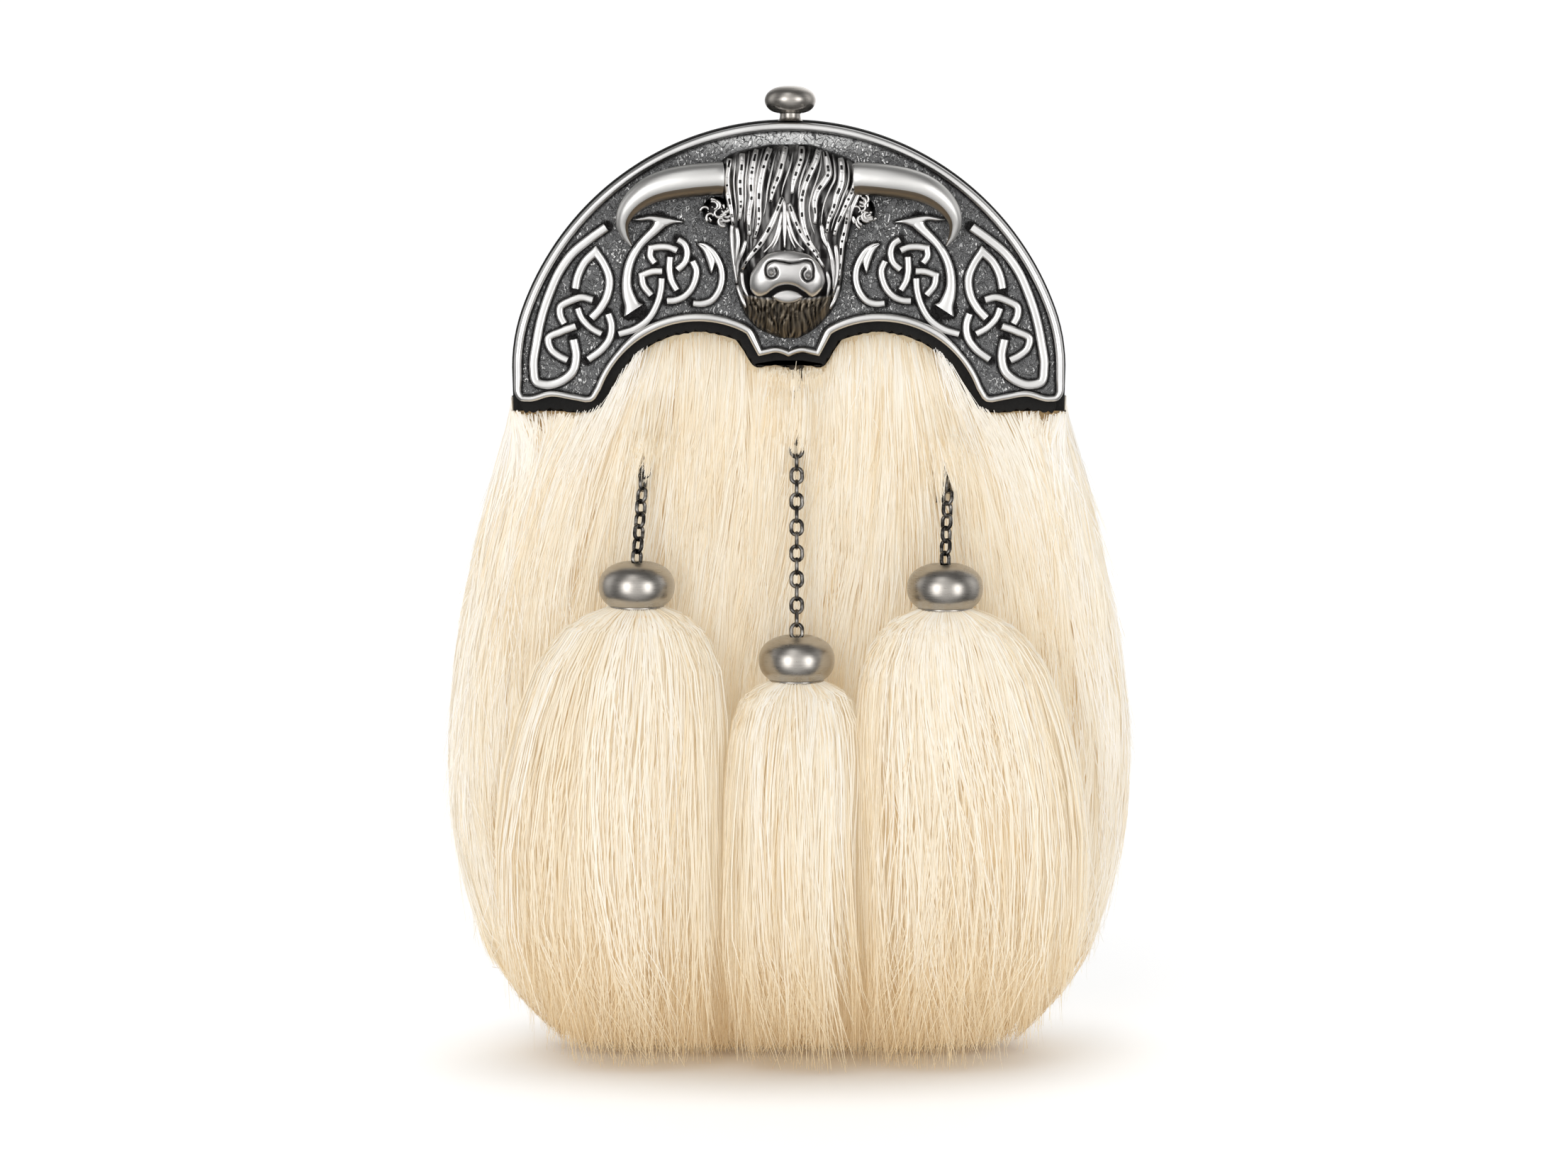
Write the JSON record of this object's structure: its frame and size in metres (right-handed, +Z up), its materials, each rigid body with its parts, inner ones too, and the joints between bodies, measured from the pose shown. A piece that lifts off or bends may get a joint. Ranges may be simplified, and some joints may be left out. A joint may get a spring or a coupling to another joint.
{
  "type": "sporran pouch",
  "caption": "Full-dress sporran: leather pouch faced with long cream hair, cast cantle with interlace and a highland cow's head, and hair tassels on chains.",
  "frame": {"origin": "on the floor under the hair, in the middle of the object's box", "axes": "+Z up; +X to the viewer's right when facing the front; +Y from the front towards the back that lies against the wearer"},
  "size_m": [0.214, 0.0998, 0.3023],
  "materials": {
    "antique_pewter": "cast, darkened and polished on the raised work",
    "dark_pewter": "cast, darkened in the grooves",
    "satin_steel": "satin",
    "gunmetal": "darkened",
    "black_leather": "grained, semi-matt",
    "cream_hair": "long straight hair, soft sheen"
  },
  "bodies": {
    "root": {"cantle": "antique_pewter", "cow_head": "dark_pewter", "top_knob": "satin_steel", "cantle_backing": "black_leather", "pouch_front": "black_leather", "gusset": "black_leather", "back_panel": "black_leather", "back_flap": "black_leather", "flap_stud": "satin_steel", "belt_loop_left": "black_leather", "belt_loop_right": "black_leather", "fur_front": "cream_hair", "chain_post_left": "gunmetal", "chain_post_center": "gunmetal", "chain_post_right": "gunmetal", "chain_left": "gunmetal", "chain_center": "gunmetal", "chain_right": "gunmetal", "ball_cap_left": "satin_steel", "ball_cap_center": "satin_steel", "ball_cap_right": "satin_steel", "tassel_left": "cream_hair", "tassel_center": "cream_hair", "tassel_right": "cream_hair"}
  },
  "joints": []
}
